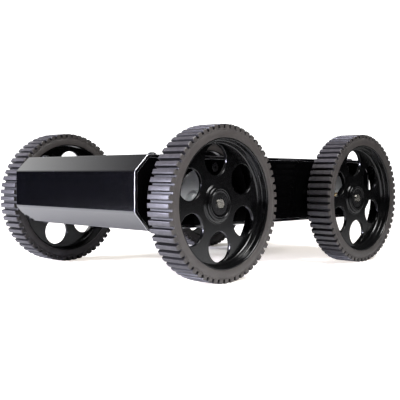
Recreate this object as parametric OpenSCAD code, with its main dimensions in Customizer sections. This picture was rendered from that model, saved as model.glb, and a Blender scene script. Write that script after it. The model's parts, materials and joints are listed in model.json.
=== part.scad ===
// Four wheel robot chassis: a bent sheet body with a gearmotor and a cogged wheel at each corner.
// +X is forward, +Y is left, +Z is up, and the origin is on the ground under the middle.

/* [Body] */
// Length of the body over its front and rear faces
body_l = 269.4; // [262:0.1:280]
// Width of the body over its side plates
body_w = 134.5; // [132:0.1:142]
// Height of the underside above the ground
body_bottom = 34.25; // [33:0.05:35]
// Height of the top deck above the ground
body_top = 81.95; // [81:0.05:86]
// How far the four sloping corners run along the body
slope_l = 10.7; // [8:0.1:12]
// Height of the upper slopes
upper_slope_h = 10.3; // [8:0.1:12]
// Height of the lower slopes
lower_slope_h = 11.6; // [9:0.1:13]
// Thickness of the bent sheet and of the side plates
sheet_t = 2.3; // [1.5:0.1:2.5]
// Outside radius of the bends
bend_r = 2.6; // [2.6:0.1:4]

/* [Wheels] */
// Diameter of a wheel over its cogs
wheel_d = 101.6; // [101:0.1:102]
// Distance between the front and rear axles
wheelbase = 162.9; // [155:0.1:165]
// Width over the outer faces of the tyres
track_outer = 189.2; // [188:0.1:200]
// Width of a tyre
tyre_w = 19.5; // [19:0.1:20]
// Number of cogs round a tyre
cogs = 60; // [48:2:64]
// Height of a cog
cog_h = 2.9; // [2:0.1:3.2]
// Share of the pitch that a cog takes at its foot
cog_share = 0.66; // [0.5:0.01:0.7]
// Radius of the opening in a tyre
tyre_bore_r = 42.1; // [42:0.05:42.5]
// Depth of the web below the tyre's outer face
web_depth = 8.1; // [7:0.1:9]
// Thickness of the web
web_t = 2.4; // [2:0.1:5]
// Radius of the round holes in the web
web_hole_r = 10.1; // [8:0.1:10.3]
// Radius of the circle that those holes are on
web_hole_pitch_r = 28; // [26.5:0.1:28.2]
// Number of those holes
web_holes = 6; // [4:1:6]

/* [Motors] */
// Distance of the output shaft below the motor's own axis
shaft_drop = 7; // [7:0.05:7.05]
// Diameter of the gearbox
gearbox_d = 37; // [37:0.1:38]
// Length of the gearbox
gearbox_l = 22; // [22:0.1:22.5]
// Diameter of the motor's can
can_d = 34.5; // [34:0.1:35]
// Length of the motor's can
can_l = 31; // [30:0.1:31]
// Diameter of the output shaft
shaft_d = 6; // [6:0.01:6.02]
// Radius of the opening in the side plate in front of each motor
motor_opening_r = 14.6; // [13.4:0.1:15]

/* [Top deck] */
// Distance between the deck's mounting holes along the body
deck_hole_l = 120; // [80:1:160]
// Distance between the deck's mounting holes across the body
deck_hole_w = 80; // [60:1:100]
// Radius of the deck's mounting holes
deck_hole_r = 1.6; // [1.5:0.05:2.2]

/* [Hidden] */
$fn = 48;

// Each corner: its side along X, its side along Y, and the turn of its wheel's first hole
front_left = [1, 1, 26.2];
front_right = [1, -1, 44];
rear_left = [-1, 1, 24.4];
rear_right = [-1, -1, 57];
corners = [front_left, front_right, rear_left, rear_right];

gap = 0.15;                                 // between sheets that lie beside each other
over = 1;                                   // how far a cutting tool runs past a surface
wheel_r = wheel_d / 2;
half_l = body_l / 2;
half_w = body_w / 2;
seam_x = half_l - slope_l - bend_r / 2;      // the cover ends and the bottom plate begins here

// Heights along an axle are distances outwards from the middle of the body
side_out = half_w;
side_in = side_out - sheet_t;
mount_t = 2.5;
gearbox_out = side_in - mount_t;
gearbox_in = gearbox_out - gearbox_l;
gearbox_face_t = 3;
gearbox_wall = 1.2;
can_in = gearbox_in - can_l;
can_wall = 1.2;
tyre_out = track_outer / 2;
tyre_in = tyre_out - tyre_w;
web_out = tyre_out - web_depth;
web_in = web_out - web_t;
tongue_h = 1.9;                             // the rim's ridge that holds the tyre
boss_out = web_out + 2.2;
boss_step = 0.9;                            // height of the wider foot of the boss
boss_top_r = 11.3;
boss_in = web_in - 3.2;
boss_r = 12.7;
hub_r = 7.2;
hub_collar_r = 8.8;
hub_in = boss_in - 6.1;
grub_z = boss_in - 3.1;
hub_out = boss_out - 0.3;
shaft_out = boss_out + 0.5;
shaft_r = shaft_d / 2;
flat_y = shaft_r - 0.5;                     // how far the D-shaped shaft's flat is below its axis
running = 0.04;                             // radial clearance of a shaft in its bearing
nose_r = 6;                                 // the gearbox's nose round the output shaft
nose_l = 6;
nose_hole_r = 8.6;                          // the mount's opening round the nose
bushing_r = 4.4;
rotor_shaft_r = 1.15;
rotor_bushing_r = 3;

// Screws: metric 3
screw_r = 1.45;
tapped_r = 1.5;
clearance_r = 1.6;
head_r = 2.75;
head_h = 1.65;
flat_head_h = 1.6;
flat_head_r = 2.95;
face_screw_pcd = 31;
mount_w = 44;
mount_h = 40;
mount_screw_x = 18;
mount_screw_z = 16.5;

// Corner blocks and the screws that go into them
block_l = 26;                               // how far a block reaches back from the end face
block_w = 10.4;
block_y = side_in - gap - block_w / 2;
block_screw_x = half_l - 20.8;
side_screw_x = half_l - 13;
block_screw_z = (body_bottom + body_top) / 2;

// Gears
gear_module = 0.4;
pressure_angle = 25;
small_teeth = 12;
large_teeth = 30;
centre_distance = gear_module * (small_teeth + large_teeth) / 2;
idler_x = sqrt(pow(centre_distance, 2) - pow(shaft_drop / 2, 2));
idler_pin_r = 1;
rotor_gear_z = gearbox_in + 2.2;
rotor_gear_t = 4.5;
output_gear_z = rotor_gear_z + rotor_gear_t + 1.4;
output_gear_t = 5;

// ---------- outlines ----------

function unit(v) = v / norm(v);
function before(p, i) = p[(i + len(p) - 1) % len(p)];
function after(p, i) = p[(i + 1) % len(p)];
function half_angle(p, i) = acos(unit(before(p, i) - p[i]) * unit(after(p, i) - p[i])) / 2;
function inward(p, i) = unit(unit(before(p, i) - p[i]) + unit(after(p, i) - p[i]));

// A convex outline moved inwards by a distance
function inset(p, d) = [for (i = [0:len(p) - 1]) p[i] + inward(p, i) * d / sin(half_angle(p, i))];

// A convex, counter-clockwise outline with its corners rounded in a number of steps
function rounded(p, r, steps = 5) = [
    for (i = [0:len(p) - 1])
        let (
            half = half_angle(p, i),
            centre = p[i] + inward(p, i) * r / sin(half),
            start = atan2(-inward(p, i)[1], -inward(p, i)[0]) - (90 - half)
        )
        for (k = [0:steps]) centre + r * [cos(start + 2 * (90 - half) * k / steps),
                                          sin(start + 2 * (90 - half) * k / steps)]
];

// The body seen from its side, with sharp corners
function body_outline() = [
    [half_l - slope_l, body_bottom],
    [half_l, body_bottom + lower_slope_h],
    [half_l, body_top - upper_slope_h],
    [half_l - slope_l, body_top],
    [slope_l - half_l, body_top],
    [-half_l, body_top - upper_slope_h],
    [-half_l, body_bottom + lower_slope_h],
    [slope_l - half_l, body_bottom]
];

// A point on the involute of a base circle
function involute(base_r, roll) = base_r * [cos(roll) + roll * PI / 180 * sin(roll),
                                            sin(roll) - roll * PI / 180 * cos(roll)];
function turned(p, a) = [p[0] * cos(a) - p[1] * sin(a), p[0] * sin(a) + p[1] * cos(a)];

// One flank of a gear's tooth from its root out to its tip, with the tooth centred on +X
function flank(teeth) =
    let (
        pitch_r = gear_module * teeth / 2,
        base_r = pitch_r * cos(pressure_angle),
        tip_r = pitch_r + 0.85 * gear_module,
        root_r = pitch_r - 1.15 * gear_module,
        pitch_turn = tan(pressure_angle) * 180 / PI - pressure_angle,
        half_tooth = 90 / teeth - 5.5 / teeth,
        last_roll = sqrt(pow(tip_r / base_r, 2) - 1) * 180 / PI,
        steps = 4,
        low = turned(involute(base_r, 0), -half_tooth - pitch_turn)
    )
    concat([unit(low) * min(root_r, base_r - 0.01)],
           [for (k = [0:steps]) turned(involute(base_r, last_roll * k / steps),
                                       -half_tooth - pitch_turn)]);

function gear_outline(teeth) = [
    for (i = [0:teeth - 1])
        let (side = flank(teeth), last = len(side) - 1)
        for (k = [0:2 * last + 1])
            turned(k <= last ? side[k] : [side[2 * last + 1 - k][0], -side[2 * last + 1 - k][1]],
                   360 * i / teeth)
];

// The tyre's outer outline: cogs with sloping flanks, one of them straight down
function cog_point(i, part) =
    let (
        pitch = 360 / cogs,
        foot = pitch * cog_share / 2,
        tip = pitch * (cog_share - 0.1) / 2,
        shape = [[wheel_r - cog_h, -foot], [wheel_r / cos(tip), -tip],
                 [wheel_r / cos(tip), tip], [wheel_r - cog_h, foot]],
        p = shape[part]
    )
    p[0] * [cos(-90 + pitch * i + p[1]), sin(-90 + pitch * i + p[1])];

// ---------- placing ----------

// Children are drawn with X forward from the axle, Y up from it, and Z outwards from mid-body
module at_corner(c) {
    translate([c[0] * wheelbase / 2, 0, wheel_r])
        mirror([0, c[1] > 0 ? 1 : 0, 0])
            rotate([90, 0, 0]) children();
}

// The same, but from the motor's own axis
module at_motor(c) at_corner(c) translate([0, shaft_drop, 0]) children();

// An outline in X and Z made into a plate between two distances across the body
module across(y0, y1) translate([0, y1, 0]) rotate([90, 0, 0]) linear_extrude(height = y1 - y0) children();

module tube(r, bore_r, z0, z1) {
    translate([0, 0, z0]) difference() {
        cylinder(r = r, h = z1 - z0);
        translate([0, 0, -over]) cylinder(r = bore_r, h = z1 - z0 + 2 * over);
    }
}

module at_face_screws() {
    for (k = [0:5]) rotate([0, 0, 60 * k]) translate([face_screw_pcd / 2, 0, 0]) children();
}

module at_mount_screws() {
    for (x = [-1, 1], y = [-1, 1]) translate([x * mount_screw_x, y * mount_screw_z, 0]) children();
}

module at_four(x, y) {
    for (i = [-1, 1], j = [-1, 1]) translate([i * x, j * y, 0]) children();
}

// A button head screw: its head stands on z = 0 and its shank goes down
module button_screw(shank_l) {
    dome_r = head_r - 0.35;
    difference() {
        union() {
            rotate_extrude($fn = 32) polygon([
                [0, 0], [head_r, 0], [head_r, 0.45],
                for (k = [1:4]) [dome_r * cos(22.5 * k) + 0.35 * (1 - k / 4),
                                 0.45 + (head_h - 0.45) * sin(22.5 * k)]
            ]);
            translate([0, 0, -shank_l]) cylinder(r = screw_r, h = shank_l + 0.1, $fn = 24);
        }
        translate([0, 0, head_h - 1]) cylinder(r = 1.15, h = 2, $fn = 6);
    }
}

// A hole for a flat head screw, through a sheet whose face is at z = 0
module countersink(t) {
    translate([0, 0, -t - over]) cylinder(r = clearance_r, h = t + 2 * over);
    translate([0, 0, -flat_head_h]) cylinder(r1 = clearance_r, r2 = flat_head_r + 0.15, h = flat_head_h);
    translate([0, 0, -0.01]) cylinder(r = flat_head_r + 0.15, h = over);
}

// A flat head screw whose head ends at z = 0
module flat_screw(total_l) {
    difference() {
        union() {
            translate([0, 0, -flat_head_h]) cylinder(r1 = screw_r, r2 = flat_head_r, h = flat_head_h);
            translate([0, 0, -total_l]) cylinder(r = screw_r, h = total_l - flat_head_h + 0.01);
        }
        translate([0, 0, -0.9]) cylinder(r = 1.1, h = 2, $fn = 6);
    }
}

// ---------- body ----------

module shell() {
    across(-half_w, half_w) difference() {
        polygon(rounded(body_outline(), bend_r));
        polygon(rounded(inset(body_outline(), sheet_t), bend_r - sheet_t + 0.2));
    }
}

// The part of the shell's underside that is a separate flat plate
module underside(margin) {
    translate([margin - seam_x, -half_w - over, body_bottom - over])
        cube([2 * (seam_x - margin), body_w + 2 * over, sheet_t + 2 * over]);
}

module top_cover() color("#26282b") difference() {
    shell();
    underside(0);
    at_four(block_screw_x, block_y) translate([0, 0, body_top - 2 * sheet_t])
        cylinder(r = clearance_r, h = 3 * sheet_t);
    at_four(deck_hole_l / 2, deck_hole_w / 2) translate([0, 0, body_top - 2 * sheet_t])
        cylinder(r = deck_hole_r, h = 3 * sheet_t);
}

module bottom_plate() color("#26282b") difference() {
    intersection() {
        shell();
        underside(gap);
    }
    at_four(block_screw_x, block_y) translate([0, 0, body_bottom - sheet_t])
        cylinder(r = clearance_r, h = 3 * sheet_t);
}

// Drawn for the left side
module side_plate() {
    difference() {
        across(side_in, side_out) polygon(rounded(inset(body_outline(), sheet_t + gap), 0.6, 3));
        for (c = [front_left, rear_left]) {
            at_motor(c) translate([0, 0, side_in - over])
                cylinder(r = motor_opening_r, h = sheet_t + 2 * over);
            at_motor(c) at_mount_screws() translate([0, 0, side_out]) countersink(sheet_t);
        }
        for (x = [-side_screw_x, side_screw_x]) translate([x, side_out, block_screw_z])
            rotate([-90, 0, 0]) countersink(sheet_t);
    }
}

module left_side_plate() color("#1d1e21") side_plate();

module right_side_plate() color("#1d1e21") mirror([0, 1, 0]) side_plate();

// Blocks inside the four corners that every panel is screwed to
module corner_blocks() color("#8d9095") difference() {
    for (i = [0, 1], j = [0, 1]) mirror([i, 0, 0]) mirror([0, j, 0]) intersection() {
        across(block_y - block_w / 2, block_y + block_w / 2)
            polygon(rounded(inset(body_outline(), sheet_t + gap), 0.6, 3));
        translate([half_l - block_l, 0, 0]) cube([block_l, half_w, 2 * body_top]);
    }
    at_four(block_screw_x, block_y) translate([0, 0, body_top - 13]) cylinder(r = tapped_r, h = 14);
    at_four(block_screw_x, block_y) translate([0, 0, body_bottom - over]) cylinder(r = tapped_r, h = 14);
    for (i = [-1, 1], j = [-1, 1]) translate([i * side_screw_x, j * half_w, block_screw_z])
        rotate([j * 90, 0, 0]) translate([0, 0, -1]) cylinder(r = tapped_r, h = 13);
}

module cover_screws() color("#3a3b3e")
    at_four(block_screw_x, block_y) translate([0, 0, body_top]) button_screw(10);

module bottom_screws() color("#3a3b3e")
    at_four(block_screw_x, block_y) translate([0, 0, body_bottom]) mirror([0, 0, 1]) button_screw(10);

module side_screws() color("#3a3b3e")
    for (i = [-1, 1], j = [-1, 1]) translate([i * side_screw_x, j * half_w, block_screw_z])
        rotate([-j * 90, 0, 0]) flat_screw(10);

// ---------- motors ----------

module mount_screws() color("#3a3b3e")
    for (c = corners) at_motor(c) at_mount_screws() translate([0, 0, side_out]) flat_screw(4.7);

module gearbox_screws() color("silver")
    for (c = corners) at_motor(c) at_face_screws() translate([0, 0, side_in]) flat_screw(5);

module motor_mount(c) color("#b9bcc0") at_motor(c) translate([0, 0, gearbox_out]) difference() {
    translate([-mount_w / 2, -mount_h / 2, 0]) cube([mount_w, mount_h, mount_t]);
    translate([0, -shaft_drop, -over]) cylinder(r = nose_hole_r, h = mount_t + 2 * over);
    at_mount_screws() translate([0, 0, -over]) cylinder(r = tapped_r, h = mount_t + 2 * over);
    at_face_screws() translate([0, 0, mount_t]) countersink(mount_t);
}

module gearbox(c) color("#a9abad") at_motor(c) difference() {
    union() {
        translate([0, 0, gearbox_in]) cylinder(d = gearbox_d, h = gearbox_l);
        translate([0, -shaft_drop, gearbox_out - over]) cylinder(r = nose_r, h = nose_l + over);
    }
    translate([0, 0, gearbox_in - over])
        cylinder(r = gearbox_d / 2 - gearbox_wall, h = gearbox_l - gearbox_face_t + over);
    translate([0, -shaft_drop, gearbox_in]) cylinder(r = bushing_r, h = gearbox_l + 2 * nose_l);
    at_face_screws() translate([0, 0, gearbox_out - gearbox_face_t - over])
        cylinder(r = tapped_r, h = gearbox_face_t + 2 * over);
    translate([idler_x, -shaft_drop / 2, gearbox_out - gearbox_face_t - over])
        cylinder(r = idler_pin_r + 0.01, h = over + 2);
}

module motor_can(c) color("#9a9b9d") at_motor(c) difference() {
    translate([0, 0, can_in]) cylinder(d = can_d, h = can_l);
    translate([0, 0, can_in - over]) cylinder(r = can_d / 2 - can_wall, h = can_l - 1.5 + over);
    translate([0, 0, gearbox_in - 2 * over]) cylinder(r = rotor_bushing_r, h = 4 * over);
}

module end_cap(c) color("#2b2b2b") at_motor(c) difference() {
    union() {
        translate([0, 0, can_in - 2.5]) cylinder(d = can_d, h = 2.5);
        translate([0, 0, can_in - over]) cylinder(r = can_d / 2 - can_wall - 0.05, h = over + 2);
    }
    translate([0, 0, can_in - 2.5 - over]) cylinder(r = rotor_bushing_r, h = 2 * over + 4.5);
    for (x = [-1, 1]) translate([x * 10 - 1.45, -0.35, can_in - 2.5 - over]) cube([2.9, 0.7, 3]);
}

module motor_terminals() color("#c8a24a")
    for (c = corners, x = [-1, 1]) at_motor(c)
        translate([x * 10 - 1.4, -0.3, can_in - 6.5]) cube([2.8, 0.6, 5.9]);

module motor_magnets() color("#4a4a4d")
    for (c = corners, k = [0, 1]) at_motor(c) rotate([0, 0, 180 * k + 20])
        translate([0, 0, can_in + 4])
            rotate_extrude(angle = 140) translate([can_d / 2 - can_wall - 2.7, 0]) square([2.6, 23]);

module output_bushings() color("#b08d57")
    for (c = corners) at_corner(c)
        tube(bushing_r, shaft_r + running, gearbox_out - gearbox_face_t, gearbox_out + nose_l - 0.1);

module rotor_bushings() color("#b08d57")
    for (c = corners) at_motor(c) {
        tube(rotor_bushing_r, rotor_shaft_r + running, gearbox_in - 1.5, gearbox_in);
        tube(rotor_bushing_r, rotor_shaft_r + running, can_in - 2.5, can_in + 2);
    }

module idler_pins() color("silver")
    for (c = corners) at_motor(c) translate([idler_x, -shaft_drop / 2, gearbox_in + 0.3])
        cylinder(r = idler_pin_r, h = gearbox_l - gearbox_face_t + 1.5, $fn = 24);

// ---------- wheels ----------

module tyre(c) color("#3b3736") at_corner(c) difference() {
    translate([0, 0, tyre_in]) linear_extrude(height = tyre_w)
        polygon([for (i = [0:cogs - 1], k = [0:3]) cog_point(i, k)]);
    translate([0, 0, tyre_in - over]) cylinder(r = tyre_bore_r, h = tyre_w + 2 * over);
    translate([0, 0, tyre_in + 5]) cylinder(r = tyre_bore_r + tongue_h, h = tyre_w - 10);
}

module rim(c) color("#17181a") at_corner(c) difference() {
    rotate_extrude($fn = 96) polygon([
        [hub_r, boss_in], [boss_r - 0.6, boss_in], [boss_r, boss_in + 0.6], [boss_r, web_in],
        [38.6, web_in], [39.6, tyre_in + 2], [40.8, tyre_in + 0.4], [tyre_bore_r - 0.05, tyre_in + 0.4],
        [tyre_bore_r - 0.05, tyre_in + 5.1], [tyre_bore_r + tongue_h - 0.05, tyre_in + 5.1],
        [tyre_bore_r + tongue_h - 0.05, tyre_out - 5.1], [tyre_bore_r - 0.05, tyre_out - 5.1],
        [tyre_bore_r - 0.05, tyre_out - 0.4], [40.8, tyre_out - 0.4], [39.6, tyre_out - 2],
        [38.6, web_out], [boss_r, web_out], [boss_r - 0.3, web_out + boss_step],
        [boss_top_r, web_out + boss_step], [boss_top_r - 0.4, boss_out], [hub_r, boss_out]
    ]);
    for (k = [1:web_holes]) rotate([0, 0, c[2] + 360 * k / web_holes])
        translate([web_hole_pitch_r, 0, web_in - over]) cylinder(r = web_hole_r, h = web_t + 2 * over);
}

// The metal hub with its collar behind the rim, and the screw that locks it to the shaft
module hub(c) color("#2a2b2e") at_corner(c) {
    difference() {
        union() {
            translate([0, 0, boss_in - 0.1]) cylinder(r = hub_r - 0.02, h = hub_out - boss_in + 0.1);
            translate([0, 0, hub_in]) cylinder(r = hub_collar_r, h = boss_in - 0.02 - hub_in);
        }
        translate([0, 0, hub_in - over]) cylinder(r = shaft_r + 0.02, h = hub_out - hub_in + 2 * over);
        translate([0, 0, grub_z]) rotate([90, 0, 0]) cylinder(r = 1.52, h = 2 * hub_collar_r);
    }
    translate([0, -flat_y - 0.02, grub_z]) rotate([90, 0, 0]) difference() {
        cylinder(r = tapped_r, h = 6, $fn = 24);
        translate([0, 0, 4.5]) cylinder(r = 0.8, h = 2, $fn = 6);
    }
}

module gear(teeth, z, t, turn, bore_r) rotate([0, 0, turn]) translate([0, 0, z]) difference() {
    linear_extrude(height = t) polygon(gear_outline(teeth));
    translate([0, 0, -over]) cylinder(r = bore_r / cos(15), h = t + 2 * over, $fn = 12);
}

module output_shaft(c) color("#c9cbce") at_corner(c) {
    difference() {
        translate([0, 0, output_gear_z - 0.5]) cylinder(r = shaft_r, h = shaft_out - output_gear_z + 0.5);
        translate([-shaft_d, -flat_y - shaft_d, side_out + 3]) cube([2 * shaft_d, shaft_d, shaft_out]);
    }
    gear(large_teeth, output_gear_z, output_gear_t, mesh_turn(1), shaft_r + 0.01);
}

// Turn of each gear that puts it in mesh: its line of centres, with a gap there where it says so
function line_up() = atan2(-shaft_drop / 2, idler_x);
function mesh_turn(stage) =
    stage == 0 ? line_up() :                                    // pinion, tooth towards the idler
    stage == 1 ? -line_up() + 180 / large_teeth :               // output gear, gap towards the idler
    stage == 2 ? line_up() + 180 + 180 / large_teeth :          // large idler gear, gap
    180 - line_up();                                            // small idler gear, tooth

module idler_gear(c) color("#d0d1d3") at_motor(c) translate([idler_x, -shaft_drop / 2, 0]) {
    gear(large_teeth, rotor_gear_z + 0.3, rotor_gear_t - 0.6, mesh_turn(2), idler_pin_r + 0.06);
    gear(small_teeth, rotor_gear_z + rotor_gear_t - 0.3, output_gear_t + 2, mesh_turn(3),
         idler_pin_r + 0.06);
}

module rotor(c) color("#8f6a3e") at_motor(c) {
    translate([0, 0, can_in - 2]) cylinder(r = rotor_shaft_r, h = rotor_gear_z + rotor_gear_t - can_in + 2);
    difference() {
        union() {
            translate([0, 0, can_in + 6]) cylinder(r = 12.6, h = 18);
            translate([0, 0, can_in + 3]) cylinder(r = 4, h = 4);
        }
        translate([0, 0, can_in]) cylinder(r = rotor_shaft_r, h = can_l);
    }
    gear(small_teeth, rotor_gear_z, rotor_gear_t, mesh_turn(0), rotor_shaft_r + 0.01);
}

top_cover();
bottom_plate();
left_side_plate();
right_side_plate();
corner_blocks();
cover_screws();
bottom_screws();
side_screws();
mount_screws();
gearbox_screws();
motor_mount(front_left);  // front_left_motor_mount
motor_mount(front_right);  // front_right_motor_mount
motor_mount(rear_left);  // rear_left_motor_mount
motor_mount(rear_right);  // rear_right_motor_mount
gearbox(front_left);  // front_left_gearbox
gearbox(front_right);  // front_right_gearbox
gearbox(rear_left);  // rear_left_gearbox
gearbox(rear_right);  // rear_right_gearbox
motor_can(front_left);  // front_left_motor_can
motor_can(front_right);  // front_right_motor_can
motor_can(rear_left);  // rear_left_motor_can
motor_can(rear_right);  // rear_right_motor_can
end_cap(front_left);  // front_left_end_cap
end_cap(front_right);  // front_right_end_cap
end_cap(rear_left);  // rear_left_end_cap
end_cap(rear_right);  // rear_right_end_cap
motor_terminals();
motor_magnets();
output_bushings();
rotor_bushings();
idler_pins();
tyre(front_left);  // front_left_tyre
tyre(front_right);  // front_right_tyre
tyre(rear_left);  // rear_left_tyre
tyre(rear_right);  // rear_right_tyre
rim(front_left);  // front_left_rim
rim(front_right);  // front_right_rim
rim(rear_left);  // rear_left_rim
rim(rear_right);  // rear_right_rim
hub(front_left);  // front_left_hub
hub(front_right);  // front_right_hub
hub(rear_left);  // rear_left_hub
hub(rear_right);  // rear_right_hub
output_shaft(front_left);  // front_left_output_shaft
output_shaft(front_right);  // front_right_output_shaft
output_shaft(rear_left);  // rear_left_output_shaft
output_shaft(rear_right);  // rear_right_output_shaft
idler_gear(front_left);  // front_left_idler_gear
idler_gear(front_right);  // front_right_idler_gear
idler_gear(rear_left);  // rear_left_idler_gear
idler_gear(rear_right);  // rear_right_idler_gear
rotor(front_left);  // front_left_rotor
rotor(front_right);  // front_right_rotor
rotor(rear_left);  // rear_left_rotor
rotor(rear_right);  // rear_right_rotor
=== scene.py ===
"""Looks of the four wheel robot chassis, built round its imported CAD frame."""
import json
import math

import bmesh
import bpy
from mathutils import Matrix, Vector


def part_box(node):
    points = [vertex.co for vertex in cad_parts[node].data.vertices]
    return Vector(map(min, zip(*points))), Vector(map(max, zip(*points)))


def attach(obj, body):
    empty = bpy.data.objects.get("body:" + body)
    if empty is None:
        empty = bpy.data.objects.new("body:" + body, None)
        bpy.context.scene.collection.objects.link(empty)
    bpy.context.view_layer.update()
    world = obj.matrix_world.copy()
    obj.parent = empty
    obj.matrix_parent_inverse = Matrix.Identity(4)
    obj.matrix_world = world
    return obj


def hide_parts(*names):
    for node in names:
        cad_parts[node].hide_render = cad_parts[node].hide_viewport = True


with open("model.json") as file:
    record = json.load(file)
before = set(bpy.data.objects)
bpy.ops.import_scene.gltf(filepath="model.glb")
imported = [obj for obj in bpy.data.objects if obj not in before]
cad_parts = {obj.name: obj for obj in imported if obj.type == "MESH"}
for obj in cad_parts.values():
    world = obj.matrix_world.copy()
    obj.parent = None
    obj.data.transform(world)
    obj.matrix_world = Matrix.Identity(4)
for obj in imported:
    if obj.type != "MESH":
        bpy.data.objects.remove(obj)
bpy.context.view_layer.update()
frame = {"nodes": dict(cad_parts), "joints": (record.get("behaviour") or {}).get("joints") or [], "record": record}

MM = 0.001

# Each corner, and its side along Y
CORNERS = {"front_left": 1, "front_right": -1, "rear_left": 1, "rear_right": -1}
WHEEL_JOINTS = {j["child"]: Vector(j["pos_m"]) for j in frame["joints"] if "wheel" in j["name"]}
CAD_SMOOTH_ANGLE = 30                       # in degrees

# Sizes of the wheels in millimetres
TYRE_R = 50.8
GROOVE_R = 47.9
TYRE_BORE_R = 42.1
TYRE_HALF_WIDTH = 9.75
TYRE_MIDDLE = 84.85                         # from the middle plane of the body
AXLE_X = 81.45


# ---------- materials ----------

class Tree:
    """A short way to build a node tree."""

    def __init__(self, tree):
        self.tree = tree

    def add(self, kind, **inputs):
        node = self.tree.nodes.new(kind)
        for key, value in inputs.items():
            node.inputs[key.replace("_", " ")].default_value = value
        return node

    def link(self, source, target):
        self.tree.links.new(source, target)

    def calculate(self, operation, first, second=0):
        """A sum on one or two values, each a number or another node's output."""
        node = self.add("ShaderNodeMath")
        node.operation = operation
        for socket, value in zip(node.inputs, (first, second)):
            if isinstance(value, (int, float)):
                socket.default_value = value
            else:
                self.link(value, socket)
        return node.outputs["Value"]

    def ramp(self, fac, low, high, start=0.3, end=0.7):
        """Goes from low to high while fac goes from start to end."""
        node = self.add("ShaderNodeMapRange")
        for key, value in (("From Min", start), ("From Max", end), ("To Min", low), ("To Max", high)):
            node.inputs[key].default_value = value
        self.link(fac, node.inputs["Value"])
        return node.outputs["Result"]

    def split(self, vector):
        node = self.add("ShaderNodeSeparateXYZ")
        self.link(vector, node.inputs["Vector"])
        return node.outputs

    def camera_ray(self):
        return self.add("ShaderNodeLightPath").outputs["Is Camera Ray"]


class Nodes(Tree):
    """The same for a new material."""

    def __init__(self, name):
        self.material = bpy.data.materials.new(name)
        self.material.use_nodes = True
        super().__init__(self.material.node_tree)
        self.shader = self.tree.nodes["Principled BSDF"]

    def place(self, stretch=(1, 1, 1)):
        """Object coordinates in millimetres, scaled along each axis."""
        where = self.add("ShaderNodeTexCoord")
        mapping = self.add("ShaderNodeMapping")
        mapping.inputs["Scale"].default_value = [s / MM for s in stretch]
        self.link(where.outputs["Object"], mapping.inputs["Vector"])
        return mapping.outputs["Vector"]

    def noise(self, vector, size, detail=3.0):
        """Noise whose features are about size millimetres across."""
        node = self.add("ShaderNodeTexNoise", Scale=1 / size, Detail=detail, Roughness=0.55)
        self.link(vector, node.inputs["Vector"])
        return node.outputs["Fac"]

    def blend(self, fac, a, b):
        node = self.add("ShaderNodeMix")
        node.data_type = "RGBA"
        self.link(fac, node.inputs["Factor"])
        for socket, value in ((node.inputs[6], a), (node.inputs[7], b)):
            if isinstance(value, tuple):
                socket.default_value = (*value, 1)
            else:
                self.link(value, socket)
        return node.outputs[2]

    def bump(self, height, distance):
        node = self.add("ShaderNodeBump", Strength=1.0, Distance=distance * MM)
        self.link(height, node.inputs["Height"])
        self.link(node.outputs["Normal"], self.shader.inputs["Normal"])

    def finish(self, **constants):
        for key, value in constants.items():
            self.shader.inputs[key.replace("_", " ")].default_value = value
        return self.material


def surface(name, dark, light, size, rough, grain, depth, stretch=(1, 1, 1), **constants):
    """A mottled surface: two close colours, varied roughness, and a fine grain in relief."""
    n = Nodes(name)
    where = n.place(stretch)
    patches = n.noise(where, size)
    fine = n.noise(where, grain, detail=2.0)
    n.link(n.blend(n.ramp(patches, 0, 1), dark, light), n.shader.inputs["Base Color"])
    n.link(n.ramp(n.noise(where, size * 0.6), rough[0], rough[1]), n.shader.inputs["Roughness"])
    n.bump(fine, depth)
    return n.finish(**constants)


def rubber():
    """Moulded rubber: scuffed on the tips of the cogs, with painted shade between them."""
    n = Nodes("moulded_rubber")
    where = n.place()
    x, y, z = n.split(where)
    along = n.calculate("SUBTRACT", n.calculate("ABSOLUTE", x), AXLE_X)
    up = n.calculate("SUBTRACT", z, TYRE_R)
    square = n.calculate("ADD", n.calculate("MULTIPLY", along, along),
                         n.calculate("MULTIPLY", up, up))
    radius = n.calculate("SQRT", square)
    sideways = n.calculate("SUBTRACT", n.calculate("ABSOLUTE", y), TYRE_MIDDLE)
    on_tread = n.ramp(n.calculate("ABSOLUTE", sideways), 1, 0,
                      TYRE_HALF_WIDTH - 0.65, TYRE_HALF_WIDTH - 0.25)
    above_foot = n.ramp(radius, 0, 1, GROOVE_R - 0.5, GROOVE_R - 0.1)
    near_tip = n.ramp(radius, 0, 1, TYRE_R - 0.4, TYRE_R - 0.08)

    side = n.blend(n.ramp(n.noise(where, 7), 0, 1), (0.034, 0.030, 0.029), (0.046, 0.041, 0.039))
    scuffed = n.blend(n.ramp(n.noise(where, 2.5), 0, 1), (0.015, 0.014, 0.015),
                      (0.034, 0.031, 0.034))
    # The tread below the tips turns near black: painted shade between the cogs.
    side_with_painted_gap_shade = n.blend(n.calculate("MULTIPLY", on_tread, above_foot), side, (0.005, 0.0045, 0.0045))
    n.link(n.blend(near_tip, side_with_painted_gap_shade, scuffed), n.shader.inputs["Base Color"])
    n.link(n.ramp(n.noise(where, 4), 0.4, 0.5), n.shader.inputs["Roughness"])
    n.bump(n.noise(where, 0.22, detail=2.0), 0.02)
    return n.finish(IOR=1.4)


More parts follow.
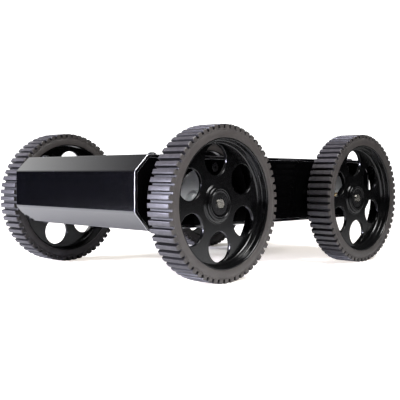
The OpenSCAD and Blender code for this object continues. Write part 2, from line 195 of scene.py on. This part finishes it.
MATERIALS = {
    "shell": surface("anodised_sheet", (0.0006, 0.0006, 0.0009), (0.0012, 0.0012, 0.0018), 9,
                     (0.07, 0.1), 0.25, 0.0006, IOR=1.85),
    # The side plates get a darker, almost unreflecting copy of the anodised black: painted shade, as they sit in
    # the shade of the wheels.
    "side_plate": surface("anodised_plate_painted_shade", (0.0004, 0.0004, 0.0005), (0.0008, 0.0008, 0.0009), 9,
                          (0.08, 0.12), 0.25, 0.0006, IOR=1.08),
    "bare_edge": surface("bare_edge", (0.20, 0.20, 0.21), (0.30, 0.30, 0.31), 2,
                         (0.3, 0.4), 0.2, 0.002, Metallic=1.0),
    "block": surface("machined_aluminium", (0.50, 0.51, 0.53), (0.60, 0.61, 0.62), 6,
                     (0.28, 0.4), 0.2, 0.004, (1, 1, 12), Metallic=1.0),
    "black_screw": surface("black_oxide", (0.012, 0.012, 0.013), (0.03, 0.03, 0.032), 1.2,
                           (0.28, 0.42), 0.1, 0.004, Metallic=0.6),
    "bright_screw": surface("zinc_plate", (0.5, 0.5, 0.52), (0.66, 0.66, 0.64), 1.5,
                            (0.2, 0.35), 0.1, 0.003, Metallic=1.0),
    "motor_mount": surface("brushed_aluminium", (0.62, 0.63, 0.65), (0.74, 0.75, 0.76), 3,
                           (0.5, 0.62), 0.08, 0.005, (0.06, 1, 1), Metallic=0.3),
    "gearbox": surface("cast_zinc", (0.48, 0.485, 0.5), (0.6, 0.605, 0.61), 3,
                       (0.45, 0.6), 0.25, 0.012, Metallic=0.3),
    "motor_can": surface("drawn_steel", (0.42, 0.42, 0.43), (0.52, 0.52, 0.53), 5,
                         (0.22, 0.34), 0.1, 0.003, (1, 0.08, 1), Metallic=1.0),
    "end_cap": surface("moulded_nylon", (0.02, 0.02, 0.02), (0.032, 0.032, 0.032), 3,
                       (0.45, 0.6), 0.15, 0.01),
    "terminal": surface("tinned_brass", (0.62, 0.5, 0.26), (0.76, 0.64, 0.38), 1,
                        (0.25, 0.4), 0.1, 0.003, Metallic=1.0),
    "magnet": surface("ferrite", (0.05, 0.05, 0.052), (0.08, 0.08, 0.082), 1,
                      (0.5, 0.7), 0.1, 0.01),
    "bushing": surface("sintered_bronze", (0.42, 0.28, 0.14), (0.56, 0.4, 0.22), 0.5,
                       (0.35, 0.5), 0.08, 0.008, Metallic=1.0),
    "pin": surface("ground_steel", (0.6, 0.6, 0.61), (0.7, 0.7, 0.7), 1,
                   (0.15, 0.25), 0.05, 0.002, Metallic=1.0),
    "rim": surface("glass_filled_nylon", (0.001, 0.001, 0.0011), (0.002, 0.002, 0.0022), 5,
                   (0.16, 0.2), 0.3, 0.0008, IOR=1.4),
    "hub": surface("anodised_hub", (0.002, 0.002, 0.0022), (0.004, 0.004, 0.0044), 2,
                   (0.2, 0.28), 0.25, 0.001, IOR=1.5),
    "tyre": rubber(),
    "shaft": surface("turned_steel", (0.60, 0.57, 0.5), (0.74, 0.71, 0.64), 0.8,
                     (0.18, 0.3), 0.06, 0.003, Metallic=1.0),
    "gear": surface("cut_steel", (0.55, 0.55, 0.56), (0.66, 0.66, 0.67), 1,
                    (0.25, 0.35), 0.06, 0.003, Metallic=1.0),
    "rotor": surface("wound_core", (0.30, 0.17, 0.08), (0.42, 0.26, 0.13), 0.6,
                     (0.3, 0.45), 0.25, 0.05, Metallic=0.7),
}


# ---------- mesh helpers ----------

def finish_piece(bm, name, body, slot, replaced):
    """Turns a bmesh into a piece that rides a body and stands for a CAD node."""
    bmesh.ops.recalc_face_normals(bm, faces=bm.faces)
    mesh = bpy.data.meshes.new(name)
    bm.to_mesh(mesh)
    bm.free()
    piece = bpy.data.objects.new(name, mesh)
    bpy.context.scene.collection.objects.link(piece)
    mesh.materials.append(MATERIALS[slot])
    shade_smooth(mesh, 40)
    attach(piece, body)
    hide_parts(replaced)


def shade_smooth(mesh, angle=None):
    """Smooth shading, but for edges sharper than an angle in degrees if one is given."""
    mesh.polygons.foreach_set("use_smooth", [True] * len(mesh.polygons))
    if angle:
        mesh.set_sharp_from_angle(angle=math.radians(angle))


def round_edges(piece, width, wide):
    """Rounds the edges of a piece, and keeps its flat faces looking flat.

    A wide rounding is kept even where it is wider than the piece's small faces.
    """
    shade_smooth(piece.data)
    joined = piece.modifiers.new("joined_points", "WELD")
    joined.merge_threshold = 0.002 * MM
    rounding = piece.modifiers.new("rounded_edges", "BEVEL")
    rounding.width = width * MM
    rounding.segments = 2
    rounding.limit_method = "ANGLE"
    rounding.angle_limit = math.radians(CAD_SMOOTH_ANGLE)
    rounding.use_clamp_overlap = not wide
    rounding.loop_slide = False
    if len(piece.data.materials) > 1:
        rounding.material = 1
    flat = piece.modifiers.new("flat_faces", "WEIGHTED_NORMAL")
    flat.keep_sharp = False


def join_rings(bm, a, b):
    """Faces between two rings of as many points."""
    for i in range(len(a)):
        j = (i + 1) % len(a)
        bm.faces.new((a[i], a[j], b[j], b[i]))


class Wheel:
    """Places points given in millimetres forward, up and outwards from one wheel's axle."""

    def __init__(self, corner):
        self.body = corner + "_wheel"
        self.side = CORNERS[corner]
        self.axle = WHEEL_JOINTS[self.body]
        low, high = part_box(corner + "_tyre")
        edges = sorted((abs(low.y), abs(high.y)))
        self.inner, self.outer = edges[0] / MM, edges[1] / MM

    def point(self, x, up, out):
        return (self.axle.x + x * MM, self.side * out * MM, self.axle.z + up * MM)

    def polar(self, r, angle, out):
        return self.point(r * math.cos(angle), r * math.sin(angle), out)


# ---------- tyres ----------

COGS = 60
EDGE_ROUND = 0.8
EDGE_STEPS = 5

# Half of one cog's outline: distance along the tread from the cog's middle, and radius
COG_SIDE = [(2.66, GROOVE_R), (1.95, GROOVE_R), (1.81, GROOVE_R + 0.06), (1.74, GROOVE_R + 0.25),
            (1.56, TYRE_R - 0.3), (1.49, TYRE_R - 0.1), (1.34, TYRE_R - 0.02), (0.7, TYRE_R)]

# The side of a tyre from its tread to inside its opening: radius, and depth below the side
TYRE_SIDE = [(GROOVE_R - 0.9, 0.0), (GROOVE_R - 1.15, 0.12), (GROOVE_R - 1.4, 0.0),
             (TYRE_BORE_R + 0.7, 0.0), (TYRE_BORE_R + 0.2, 0.1), (TYRE_BORE_R, 0.35),
             (TYRE_BORE_R, 4.9)]


def tyre(corner):
    wheel = Wheel(corner)
    half = [(-x / TYRE_R, r) for x, r in COG_SIDE]
    outline = half + [(0, TYRE_R)] + [(-a, r) for a, r in reversed(half[1:])]
    angles, radii = [], []
    for k in range(COGS):
        middle = math.radians(-90 + 360 / COGS * k)
        angles += [middle + a for a, r in outline]
        radii += [r for a, r in outline]

    def tread_row(out, drop):
        """A ring of the tread, where drop is how far the tips are rounded off at its edge."""
        return [wheel.polar(GROOVE_R - 0.25 * drop + (r - GROOVE_R) * (1 - drop / 4), a, out)
                for a, r in zip(angles, radii)]

    def half_rows(edge, inward):
        """Rings from the flat of the tread over its rounded edge and down one side."""
        rows = []
        for k in range(EDGE_STEPS + 1):
            turn = k / EDGE_STEPS * math.pi / 2
            rows.append(tread_row(edge + inward * EDGE_ROUND * (1 - math.sin(turn)),
                                  EDGE_ROUND * (1 - math.cos(turn))))
        for r, depth in TYRE_SIDE:
            rows.append([wheel.polar(r, a, edge + inward * depth) for a in angles])
        return rows

    bm = bmesh.new()
    rings = [[bm.verts.new(p) for p in row]
             for row in half_rows(wheel.outer, -1) + half_rows(wheel.inner, 1)[::-1]]
    for a, b in zip(rings, rings[1:] + rings[:1]):
        join_rings(bm, a, b)
    finish_piece(bm, corner + "_tyre_detail", wheel.body, "tyre", corner + "_tyre")


for corner in CORNERS:
    tyre(corner)


# ---------- rims ----------

HOLES = 6
HALF_SHARE = math.pi / HOLES                # half of the turn that belongs to one hole
HOLE_R = 10.1
HOLE_PITCH_R = 28.0
WEB_INNER = 13.3
WEB_OUTER = 38.65
HOLE_EDGE = 0.3
RAYS = 96
WEB_DEPTH = 8.1
WEB_THICKNESS = 2.4
HOLE_TURN = {"front_left": 26.2, "front_right": 44, "rear_left": 24.4, "rear_right": 57}


def sector_point(angle):
    """Where a ray from a hole's centre leaves the hole's share of the web, as radius and turn."""
    low, high = HOLE_R, 3 * HOLE_R
    for _ in range(40):
        t = (low + high) / 2
        x, y = HOLE_PITCH_R + t * math.cos(angle), t * math.sin(angle)
        r, turn = math.hypot(x, y), math.atan2(y, x)
        if WEB_INNER < r < WEB_OUTER and abs(turn) < HALF_SHARE:
            low = t
        else:
            high = t
    x, y = HOLE_PITCH_R + high * math.cos(angle), high * math.sin(angle)
    r, turn = math.hypot(x, y), math.atan2(y, x)
    return min(max(r, WEB_INNER), WEB_OUTER), min(max(turn, -HALF_SHARE), HALF_SHARE)


def sector_outline():
    """The share's outline ray by ray, with its four corners put on the nearest rays."""
    points = [sector_point(2 * math.pi * (k + 0.5) / RAYS) for k in range(RAYS)]
    for corner_r in (WEB_INNER, WEB_OUTER):
        for corner_turn in (-HALF_SHARE, HALF_SHARE):
            x, y = corner_r * math.cos(corner_turn), corner_r * math.sin(corner_turn)
            nearest = min(range(RAYS), key=lambda k: math.hypot(
                points[k][0] * math.cos(points[k][1]) - x,
                points[k][0] * math.sin(points[k][1]) - y))
            points[nearest] = (corner_r, corner_turn)
    return points


SECTOR = sector_outline()


def ring_turns(r):
    """The turns of the web's outline points that lie on the circle of radius r, all the way round."""
    own = sorted(t for radius, t in SECTOR if abs(radius - r) < 1e-6)
    return [2 * HALF_SHARE * k + t for k in range(HOLES) for t in own[:-1]]


def lathe(bm, wheel, profile, turns):
    """Faces between the rings of a turned profile, given as radius and distance outwards."""
    rings = [[bm.verts.new(wheel.polar(r, t, out)) for t in turns] for r, out in profile]
    for a, b in zip(rings, rings[1:]):
        join_rings(bm, a, b)


def rim(corner):
    wheel = Wheel(corner)
    start = math.radians(HOLE_TURN[corner])
    top, back = wheel.outer, wheel.inner
    web_top = top - WEB_DEPTH
    web_back = web_top - WEB_THICKNESS
    bm = bmesh.new()

    barrel = [(WEB_OUTER, web_top), (38.75, web_top), (39.0, web_top + 0.12),
              (39.3, web_top + 0.45), (39.55, web_top + 0.95), (39.75, web_top + 1.6),
              (39.95, web_top + 2.5), (40.05, web_top + 3.2), (40.12, web_top + 3.4),
              (40.3, web_top + 3.5), (40.45, web_top + 3.6), (40.55, web_top + 3.9),
              (40.7, top - 2.4), (40.85, top - 1.2), (41.0, top - 0.85), (41.2, top - 0.66),
              (41.45, top - 0.6), (41.8, top - 0.6), (42.0, top - 0.7), (42.05, top - 0.9),
              (42.05, top - 2.5)]
    back_barrel = [(42.05, back + 2.5), (42.05, back + 0.8), (41.9, back + 0.6), (41.5, back + 0.6),
                   (41.3, back + 0.7), (41.2, back + 1.0), (40.9, web_back - 1.1),
                   (40.8, web_back - 0.6), (40.55, web_back - 0.2), (40.2, web_back - 0.04),
                   (39.9, web_back), (WEB_OUTER, web_back)]
    lathe(bm, wheel, barrel + back_barrel, [start + t for t in ring_turns(WEB_OUTER)])

    boss = [(WEB_INNER, web_top), (13.1, web_top), (12.95, web_top + 0.08), (12.75, web_top + 0.3),
            (12.68, web_top + 0.45), (12.55, web_top + 0.7), (12.3, web_top + 0.85),
            (12.0, web_top + 0.9), (11.45, web_top + 0.9), (11.3, web_top + 1.0),
            (11.2, web_top + 1.7), (11.05, web_top + 1.97), (10.8, web_top + 2.14),
            (10.5, web_top + 2.2), (9.5, web_top + 2.2),
            (9.35, web_top + 2.05), (9.1, web_top + 2.0), (8.85, web_top + 2.05),
            (8.7, web_top + 2.2), (7.55, web_top + 2.2), (7.4, web_top + 2.14),
            (7.3, web_top + 1.95), (7.3, web_back - 3.1), (7.5, web_back - 3.2),
            (12.2, web_back - 3.2), (12.5, web_back - 3.0), (12.6, web_back - 0.7),
            (12.8, web_back - 0.2), (13.1, web_back), (WEB_INNER, web_back)]
    lathe(bm, wheel, boss, [start + t for t in ring_turns(WEB_INNER)])

    edge = [(HOLE_R + 1.5 * HOLE_EDGE, 0.0), (HOLE_R + HOLE_EDGE, 0.0),
            (HOLE_R + 0.5 * HOLE_EDGE, 0.13 * HOLE_EDGE),
            (HOLE_R + 0.13 * HOLE_EDGE, 0.5 * HOLE_EDGE), (HOLE_R, HOLE_EDGE)]
    wall = [(r, web_top - d) for r, d in edge] + [(r, web_back + d) for r, d in edge[::-1]]

    def web_ring(turn, out):
        return [bm.verts.new(wheel.polar(r, turn + t, out)) for r, t in SECTOR]

    def hole_ring(turn, r, out):
        ring = []
        for k in range(RAYS):
            a = 2 * math.pi * (k + 0.5) / RAYS
            x, y = HOLE_PITCH_R + r * math.cos(a), r * math.sin(a)
            ring.append(bm.verts.new(wheel.polar(math.hypot(x, y), turn + math.atan2(y, x), out)))
        return ring

    for hole in range(HOLES):
        turn = start + 2 * math.pi * hole / HOLES
        rings = [web_ring(turn, web_top)]
        rings += [hole_ring(turn, r, out) for r, out in wall]
        rings += [web_ring(turn, web_back)]
        for a, b in zip(rings, rings[1:]):
            join_rings(bm, a, b)
    bmesh.ops.remove_doubles(bm, verts=bm.verts, dist=1e-7)
    finish_piece(bm, corner + "_rim_detail", wheel.body, "rim", corner + "_rim")


for corner in CORNERS:
    rim(corner)


# ---------- CAD nodes that stay ----------

# Widths of the rounded edges in millimetres
ROUNDED = {"shell": 0.4, "side_plate": 0.25, "motor_mount": 0.2, "gearbox": 0.3, "hub": 0.2,
           "shaft": 0.25, "black_screw": 0.08, "bright_screw": 0.08, "block": 0.3}
slots = {s["node"]: s["material_slot"] for s in frame["record"]["subparts"]}
for name, node in frame["nodes"].items():
    slot = slots[name]
    node.data.materials.clear()
    node.data.materials.append(MATERIALS[slot])
    if slot in ("shell", "side_plate"):
        node.data.materials.append(MATERIALS["bare_edge"])
    if slot in ROUNDED:
        round_edges(node, ROUNDED[slot], wide=slot == "shell")
    elif slot not in ("tyre", "rim"):
        shade_smooth(node.data, CAD_SMOOTH_ANGLE)


# ---------- floor, light and camera ----------

FLOOR_R = 0.75
PAINTED_SHADOW_AT = (-0.06, -0.07, 0)                # the darkest part of the floor's painted glow: a painted shadow under the body


def make_floor():
    """A pale table with a glow that only the camera sees: painted light, dimmed near the body into a painted
    shadow.
    """
    bpy.ops.mesh.primitive_circle_add(vertices=128, radius=FLOOR_R, fill_type="NGON")
    floor = bpy.context.object
    floor.name = "floor"
    n = Nodes("pale_table_with_painted_glow")
    n.link(n.blend(n.noise(n.place(), 60), (0.85, 0.85, 0.85), (0.83725, 0.83725, 0.83725)),
           n.shader.inputs["Base Color"])
    # Emission for camera rays only, weaker near the point under the body: painted glow with a painted shadow.
    away = n.add("ShaderNodeVectorMath")
    away.operation = "DISTANCE"
    away.inputs[1].default_value = PAINTED_SHADOW_AT
    n.link(n.add("ShaderNodeTexCoord").outputs["Object"], away.inputs[0])
    shade = n.ramp(away.outputs["Value"], 0.2, 0.74, 0.03, 0.09)
    n.link(n.calculate("MULTIPLY", n.camera_ray(), shade), n.shader.inputs["Emission Strength"])
    floor.data.materials.append(n.finish(Roughness=0.6, Emission_Color=(1, 0.93, 0.86, 1)))


def make_world():
    """A white backdrop to the eye; for the rest a dim room, lighter above and towards a window."""
    world = bpy.data.worlds.new("studio")
    bpy.context.scene.world = world
    world.use_nodes = True
    t = Tree(world.node_tree)
    backdrop = t.tree.nodes["Background"]
    backdrop.inputs["Color"].default_value = (1, 1, 1, 1)
    backdrop.inputs["Strength"].default_value = 1.6

    towards = t.split(t.add("ShaderNodeTexCoord").outputs["Generated"])
    sideways = t.calculate("POWER", t.ramp(towards["Y"], 0, 1, -0.71, -0.9), 2)
    window = t.calculate("MULTIPLY", sideways, t.ramp(towards["Z"], 0, 3.2, 0.25, 0.45))
    ceiling = t.ramp(towards["Z"], 0.01, 0.2, 0.1, 0.8)
    room = t.add("ShaderNodeBackground")
    t.link(t.calculate("ADD", ceiling, window), room.inputs["Strength"])

    mix = t.add("ShaderNodeMixShader")
    t.link(t.camera_ray(), mix.inputs["Fac"])
    t.link(room.outputs["Background"], mix.inputs[1])
    t.link(backdrop.outputs["Background"], mix.inputs[2])
    t.link(mix.outputs["Shader"], t.tree.nodes["World Output"].inputs["Surface"])


def softbox(name, at, size, power, colour=(1, 1, 1), target=(0, 0, 0.05), spread=180):
    """An area light aimed at the middle of the object, or at a target."""
    light = bpy.data.lights.new(name, "AREA")
    light.shape = "RECTANGLE"
    light.size, light.size_y = size
    light.energy = power
    light.color = colour
    light.spread = math.radians(spread)
    lamp = bpy.data.objects.new(name, light)
    bpy.context.scene.collection.objects.link(lamp)
    lamp.location = at
    aim = Vector(target) - Vector(at)
    lamp.rotation_euler = aim.to_track_quat("-Z", "Y").to_euler()
    return lamp


def make_camera():
    """Level with the deck, off the front left wheel."""
    yaw, pitch, roll = (math.radians(a) for a in (224.28, -2.06, 0.17))
    forward = Vector((math.cos(yaw) * math.cos(pitch), math.sin(yaw) * math.cos(pitch),
                      math.sin(pitch)))
    lens = bpy.data.cameras.new("camera")
    lens.sensor_width = 36
    lens.lens = 63.36
    lens.clip_start = 0.01
    camera = bpy.data.objects.new("camera", lens)
    bpy.context.scene.collection.objects.link(camera)
    camera.location = (0.41223, 0.39305, 0.06933)
    camera.rotation_euler = forward.to_track_quat("-Z", "Y").to_euler()
    camera.rotation_euler.rotate_axis("Z", roll)
    bpy.context.scene.camera = camera


make_floor()
make_world()
softbox("key", (0.9, -1.05, 0.85), (0.5, 0.5), 28).visible_glossy = False
softbox("front", (1.0, -0.42, 0.17), (0.22, 0.22), 38, (0.8, 0.8, 1))
softbox("fill", (0.12, 0.42, 0.56), (0.4, 0.25), 1.4, target=(0.1, 0.09, 0.05), spread=60)
softbox("top", (0.32, 0.1, 1.4), (0.4, 0.4), 7)
make_camera()
bpy.context.scene.view_settings.view_transform = "Standard"
